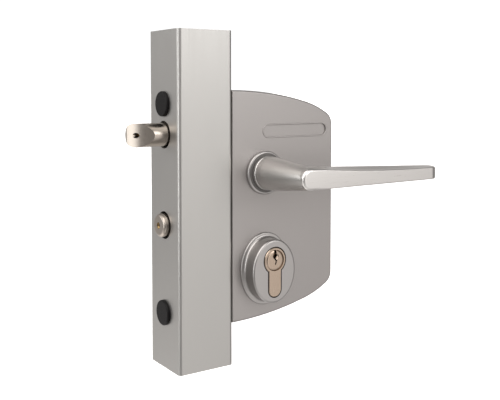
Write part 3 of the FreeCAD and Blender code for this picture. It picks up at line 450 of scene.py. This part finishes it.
# %% Drawn wire
drawn_wire, tree, shader = new_finish("drawn_wire", "8a8987", 1.0, 0.32)
oil_spots = grain(tree, (0.6, 0.6, 0.6))
vary(tree, shader, oil_spots, "Roughness", 0.26, 0.40)
tint(tree, shader, oil_spots, "7e7d7b", "939290")

# %% [markdown]
# ## Bushes: nylon, moulded, grey
# The bushes round the handles are moulded nylon as the plugs are, but dark grey, because they hold a dry
# lubricant. Their mould isn't sparked, so they keep the full sheen of nylon over a fine grain, drawn 0.4 mm
# wide.

# %% Grey moulded nylon
grey_nylon, tree, shader = new_finish("grey_nylon", "615f5d", 0.0, 0.45)
shader.inputs["IOR"].default_value = NYLON_IOR
mould_grain = grain(tree, (0.4, 0.4, 0.4))
vary(tree, shader, mould_grain, "Roughness", 0.40, 0.54)
emboss(tree, shader, mould_grain, 0.015)

# %% [markdown]
# ## Dressing the frame
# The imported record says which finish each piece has. The pieces themselves aren't touched: each one only
# gets the new material in its slot.

# %% Assign the finishes
FINISHES = {
    "tube_alu": anodised_extrusion, "cover_coat": silver_powder_coat, "handle_alu": ground_aluminium,
    "rosette_alu": etched_aluminium, "cap_black": black_nylon, "bolt_steel": turned_steel,
    "screw_steel": zinc_plate, "case_steel": rolled_sheet, "screw_brass": bare_brass,
    "cylinder_nickel": champagne_nickel, "spring_steel": drawn_wire, "bush_nylon": grey_nylon,
}
slot_of = {part["node"]: part["material_slot"] for part in frame["record"]["subparts"]}
for name, piece in nodes.items():
    piece.data.materials.clear()
    piece.data.materials.append(FINISHES[slot_of[name]])
print("pieces dressed:", len(slot_of))

# %% [markdown]
# ## Cast shapes from distances
# A cast handle has no sharp corner and no seam: its neck flows into its lever. Joined solids show a hard line
# there. So the visible handle is made from distances instead. A function tells for any point how far it is
# from the metal, less than zero inside. Two such functions are joined by their smaller value, and a few more
# terms turn the corner between them into a true round, which leaves the rest of both surfaces as they are.

# %% Joining and rounding
def hollow_join(a, b, r):
    """Two shapes as one, with a hollow round of radius r in the corner between them."""
    return np.maximum(r, np.minimum(a, b)) - np.hypot(np.maximum(r - a, 0), np.maximum(r - b, 0))


def round_meet(a, b, r):
    """What two shapes share, with its outer edge rounded to radius r."""
    return np.minimum(-r, np.maximum(a, b)) + np.hypot(np.maximum(r + a, 0), np.maximum(r + b, 0))


def ease(value, start, end):
    """From 0 at the start to 1 at the end, without a jerk."""
    t = np.clip((value - start) / (end - start), 0, 1)
    return t * t * (3 - 2 * t)


def through(x, points):
    """A parabola through three points."""
    (x0, y0), (x1, y1), (x2, y2) = points
    return (y0 * (x - x1) * (x - x2) / ((x0 - x1) * (x0 - x2))
            + y1 * (x - x0) * (x - x2) / ((x1 - x0) * (x1 - x2))
            + y2 * (x - x0) * (x - x1) / ((x2 - x0) * (x2 - x1)))


# %% [markdown]
# The next functions lay a skin over such a shape. The slope of the distance is the way in which it grows, and
# it points straight out of the surface. A point that is near the surface is pulled onto it along that slope,
# and the same slope is its normal, so that rounds of half a millimetre still shade smoothly.

# %% Slope and pull
PULLS = 3
LEAST_SLOPE = 0.5


def slope(field, points, reach=0.02):
    """The way in which the distance grows, at each point."""
    ways = np.eye(3) * reach
    return np.stack([(field(*(points + w).T) - field(*(points - w).T)) / (2 * reach) for w in ways], axis=1)


def pull(field, points, step):
    """Move points that are less than half a step away onto the surface."""
    for _ in range(PULLS):
        way = slope(field, points)
        far = np.clip(field(*points.T), -step / 2, step / 2)
        points = points - (far / np.maximum((way * way).sum(1), LEAST_SLOPE))[:, None] * way
    return points


# %% [markdown]
# Space is cut into small cells. Each cell that the surface passes through gets one vertex, in the middle of
# the points where its edges are crossed, and four cells round a crossed edge make a quad.

# %% A skin over a distance
def skin(field, low, high, step):
    axes = [np.arange(a, b + step, step) for a, b in zip(low, high)]
    values = field(*np.meshgrid(*axes, indexing="ij", sparse=True))
    inside = values < 0
    cells = [n - 1 for n in inside.shape]
    total = np.zeros((*cells, 3))
    count = np.zeros(cells, int)
    loops = []
    for axis in range(3):
        near = tuple(slice(0, -1) if i == axis else slice(None) for i in range(3))
        far = tuple(slice(1, None) if i == axis else slice(None) for i in range(3))
        crossed = inside[near] != inside[far]
        place = np.argwhere(crossed)
        point = place.astype(float)
        point[:, axis] += values[near][crossed] / (values[near][crossed] - values[far][crossed])
        around = []
        for du, dv in ((0, 0), (1, 0), (1, 1), (0, 1)):
            cell = place.copy()
            cell[:, (axis + 1) % 3] -= du
            cell[:, (axis + 2) % 3] -= dv
            cell = tuple(cell.T)
            np.add.at(total, cell, point)
            np.add.at(count, cell, 1)
            around.append(cell)
        loops.append((around, inside[near][crossed]))
    used = count > 0
    number = np.cumsum(used.ravel()).reshape(used.shape) - 1
    points = total[used] / count[used][:, None] * step + np.array(low)
    quads = []
    for around, outward in loops:
        index = np.stack([number[cell] for cell in around], axis=1)
        quads.append(np.where(outward[:, None], index, index[:, ::-1]))
    return pull(field, points, step), np.concatenate(quads)


# %% [markdown]
# Both sides of the lock are alike. So a shape is worked out once, with its depth counted outwards from the
# lock's middle plane, and it is placed twice: as it is behind, where outwards is Y, and mirrored in front,
# where it is -Y. Mirroring turns the quads inside out, so their corners are taken in the other order there.

# %% Place a shape on the near and the far side
def both_sides(field, points, quads, axis_mm, names, body, finish):
    normals = slope(field, points)
    normals /= np.linalg.norm(normals, axis=1)[:, None]
    for name, replaced, side in names:
        mirror = np.array([1, side, 1])
        mesh = bpy.data.meshes.new(name)
        corners = quads[:, ::-1] if side < 0 else quads
        mesh.from_pydata(((points * mirror + axis_mm) * MM).tolist(), [], corners.tolist())
        mesh.polygons.foreach_set("use_smooth", [True] * len(mesh.polygons))
        mesh.normals_split_custom_set_from_vertices((normals * mirror).tolist())
        mesh.materials.append(finish)
        piece = bpy.data.objects.new(name, mesh)
        bpy.context.scene.collection.objects.link(piece)
        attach(piece, body)
        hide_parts(replaced)
        low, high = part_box(replaced)
        print(name, len(quads), "quads, node box in mm:", [round((b - a) / MM, 1) for a, b in zip(low, high)])


# %% [markdown]
# ## The lever handles
# The handle is one aluminium casting. A cone-shaped neck comes out of its flange and ends level with the face
# of the lever. The lever is a flat bar with a straight lower edge, a slightly hollow upper edge and a
# bullnose end. Its front edge is ground crisp, and at the root the round is wider, which gives the bright
# crescent. The grinding also leaves the face a little crowned near the root, by 0.2 mm at its edges, so the
# face is brightest there and calms down towards the tip. A web behind the lever leads the cone into it.
# Sizes are in millimetres from the handle's axis; depth is counted from the lock's middle plane.

# %% Handle sizes
HANDLE_AXIS = (45.5, 0.0, 126.0)
FACE_DEPTH, BACK_DEPTH = 72.0, 60.5
LEVER_END, LEVER_MIDDLE = 113.2, 44.5
FACE_TOPS = (6.9, 3.5, 2.2)
BACK_TOPS = (7.3, 5.4, 2.5)
LEVER_BOTTOM, TIP_BOTTOM = 6.7, 6.2
TIP_FACE_ROUND, TIP_BACK_ROUND = 9.0, 2.4
EDGE_ROUND, ROOT_ROUND, BACK_ROUND, TIP_ROUND = 0.7, 1.8, 1.2, 1.9
ROOT_FADE, BACK_FADE, TIP_FADE = (-2, 14), (4, 9), (LEVER_END - 6, LEVER_END - 1)
CROWN_R, CROWN_FADE = 120.0, (10.0, 90.0)
CONE_START, CONE_START_R, CONE_END, CONE_END_R = 30.2, 11.15, 71.3, 6.95
FLANGE_START, FLANGE_END, FLANGE_R, FLANGE_ROUND, FLANGE_BACK_ROUND = 22.2, 25.0, 11.45, 0.25, 0.4
NECK_START = FLANGE_START + 1
SPIGOT_START, SPIGOT_R = 15.0, 9.0
SOCKET_HALF, SOCKET_END = 4.05, 48.5
SCREW_DEPTH, SCREW_HOLE_R = 33.0, 2.55
NECK_FILLET, FLANGE_FILLET = 9.0, 0.15
WEB_ROUND, WEB_INSIDE, WEB_INSIDE_ROUND, WEB_END, WEB_START = 1.6, 3, 1.0, 28, 42
SIDE_FILLET, SIDE_FADE, FACE_FADE = 1.0, (0, 5), (1.5, 5)


# %% The lever as a distance
def lever_sides(x, depth, z):
    """The lever's outline: round root, straight lower edge and hollow upper edge."""
    stations = (0, LEVER_MIDDLE, LEVER_END)
    towards_face = ease(depth, BACK_DEPTH, FACE_DEPTH)
    top = through(x, list(zip(stations, FACE_TOPS))) * towards_face
    top = top + through(x, list(zip(stations, BACK_TOPS))) * (1 - towards_face)
    bottom = LEVER_BOTTOM - (LEVER_BOTTOM - TIP_BOTTOM) * np.clip(x / LEVER_END, 0, 1)
    root = np.hypot(x, z - (top - bottom) / 2) - (top + bottom) / 2
    return np.where(x < 0, root, np.maximum(z - top, -z - bottom))


def face_plane(x, depth, z):
    """The lever's face, which the grinding leaves slightly crowned near the root."""
    crown = (1 - ease(x, *CROWN_FADE)) / CROWN_R
    return depth - FACE_DEPTH + crown * z ** 2 / 2


def lever(x, depth, z, sides):
    """The flat bar, with its edges rounded wider at the root, the back and the tip."""
    plan = round_meet(x - LEVER_END, face_plane(x, depth, z), TIP_FACE_ROUND)
    plan = round_meet(plan, BACK_DEPTH - depth, TIP_BACK_ROUND)
    edge = EDGE_ROUND + (ROOT_ROUND - EDGE_ROUND) * (1 - ease(x, *ROOT_FADE))
    edge = edge + (BACK_ROUND - EDGE_ROUND) * ease(FACE_DEPTH - depth, *BACK_FADE)
    edge = edge + (TIP_ROUND - EDGE_ROUND) * ease(x, *TIP_FADE)
    return round_meet(plan, sides, edge)


# %% The neck, and the whole handle
def handle(x, depth, z):
    radius = np.hypot(x, z)
    taper = (CONE_START_R - CONE_END_R) / (CONE_END - CONE_START)
    cone = (radius - CONE_START_R + taper * (depth - CONE_START)) / math.hypot(1, taper)
    cone = np.maximum(cone, radius - CONE_START_R)
    neck = round_meet(cone, face_plane(x, depth, z), ROOT_ROUND)
    neck = np.maximum(neck, NECK_START - depth)
    flange = round_meet(radius - FLANGE_R, depth - FLANGE_END, FLANGE_ROUND)
    flange = round_meet(flange, FLANGE_START - depth, FLANGE_BACK_ROUND)
    turned = hollow_join(neck, flange, FLANGE_FILLET)
    sides = lever_sides(x, depth, z)
    web = round_meet(hollow_join(cone, BACK_DEPTH - depth, NECK_FILLET), sides, WEB_ROUND)
    web = np.maximum(round_meet(web, depth - BACK_DEPTH - WEB_INSIDE, WEB_INSIDE_ROUND),
                     np.maximum(x - WEB_END, WEB_START - depth))
    bar = np.minimum(lever(x, depth, z, sides), web)
    fillet = SIDE_FILLET * ease(x, *SIDE_FADE) * ease(FACE_DEPTH - depth, *FACE_FADE)
    whole = hollow_join(turned, bar, fillet)
    spigot = np.maximum(radius - SPIGOT_R, np.maximum(SPIGOT_START - depth, depth - FLANGE_END))
    socket = np.maximum(np.maximum(np.abs(x), np.abs(z)) - SOCKET_HALF, depth - SOCKET_END)
    screw_hole = np.maximum(np.hypot(x, depth - SCREW_DEPTH) - SCREW_HOLE_R, z)
    return np.maximum(np.minimum(whole, spigot), -np.minimum(socket, screw_hole))


# %% Both handles
HANDLE_LOW, HANDLE_HIGH, HANDLE_CELL = (-13.7, 14.3, -13.7), (114.3, 73.3, 13.7), 0.5

points, quads = skin(handle, HANDLE_LOW, HANDLE_HIGH, HANDLE_CELL)
both_sides(handle, points, quads, HANDLE_AXIS,
           [("near_lever_handle", "front_handle", -1), ("far_lever_handle", "rear_handle", 1)],
           "handles", ground_aluminium)

# %% [markdown]
# ## The key plugs
# The plug is turned from brass bar. Its edge is rounded, so that a ring of light and shade tells it from the
# cylinder, and a bell-shaped mouth at the top of the keyway leads the key in. The keyway is broached: wide at
# the top for the key's back, then a narrow zigzag that keeps other keys out. All of it is cut from one rod,
# again as distances. The keyway is a chain of strokes, each with its two ends and half its width.

# %% Plug sizes
PLUG_AXIS = (45.5, 0.0, 68.6)
PLUG_R, PLUG_FACE, PLUG_START, PLUG_BACK_ROUND = 7.0, 32.3, 5.05, 0.2
TAIL_R, TAIL_START, TAIL_OVERLAP = 4.5, 0.3, 1
RIM_R, RIM_ROUND = 7.7, 2.4
MOUTH_CENTRE, MOUTH_R, MOUTH_LIP, MOUTH_DEPTH = (0.55, 3.0), 1.25, 1.5, 6.0
KEYWAY_DEPTH = 20.0
KEYWAY = [((0.2, 6.2), (0.2, 5.4), 0.95), ((0.2, 5.4), (-0.3, 3.2), 0.8), ((-1.1, 2.6), (0.95, -0.3), 0.5),
          ((0.95, -0.3), (0.3, -2.6), 0.42)]


# %% The plug as a distance
def plug(x, depth, z):
    radius = np.hypot(x, z)
    face = round_meet(radius - RIM_R, depth - PLUG_FACE, RIM_ROUND)
    body = round_meet(np.maximum(face, radius - PLUG_R), PLUG_START - depth, PLUG_BACK_ROUND)
    tail = np.maximum(radius - TAIL_R, np.maximum(TAIL_START - depth, depth - PLUG_START - TAIL_OVERLAP))
    rod = np.minimum(body, tail)
    away = np.hypot(x - MOUTH_CENTRE[0], z - MOUTH_CENTRE[1])
    beside_mouth = round_meet(MOUTH_R - away, depth - PLUG_FACE, MOUTH_LIP)
    rod = np.maximum(rod, np.minimum(beside_mouth, depth - PLUG_FACE + MOUTH_DEPTH))
    strokes = []
    for (x0, z0), (x1, z1), half in KEYWAY:
        along = ((x - x0) * (x1 - x0) + (z - z0) * (z1 - z0)) / ((x1 - x0) ** 2 + (z1 - z0) ** 2)
        along = np.clip(along, 0, 1)
        strokes.append(np.hypot(x - x0 - along * (x1 - x0), z - z0 - along * (z1 - z0)) - half)
    keyway = np.maximum(np.minimum.reduce(strokes), PLUG_FACE - KEYWAY_DEPTH - depth)
    return np.maximum(rod, -keyway)


# %% Both plugs
PLUG_LOW, PLUG_HIGH, PLUG_CELL = (-7.3, 0.0, -7.3), (7.3, 32.8, 7.3), 0.2

points, quads = skin(plug, PLUG_LOW, PLUG_HIGH, PLUG_CELL)
both_sides(plug, points, quads, PLUG_AXIS,
           [("near_key_plug", "front_plug", -1), ("far_key_plug", "rear_plug", 1)],
           "key_plugs", champagne_nickel)
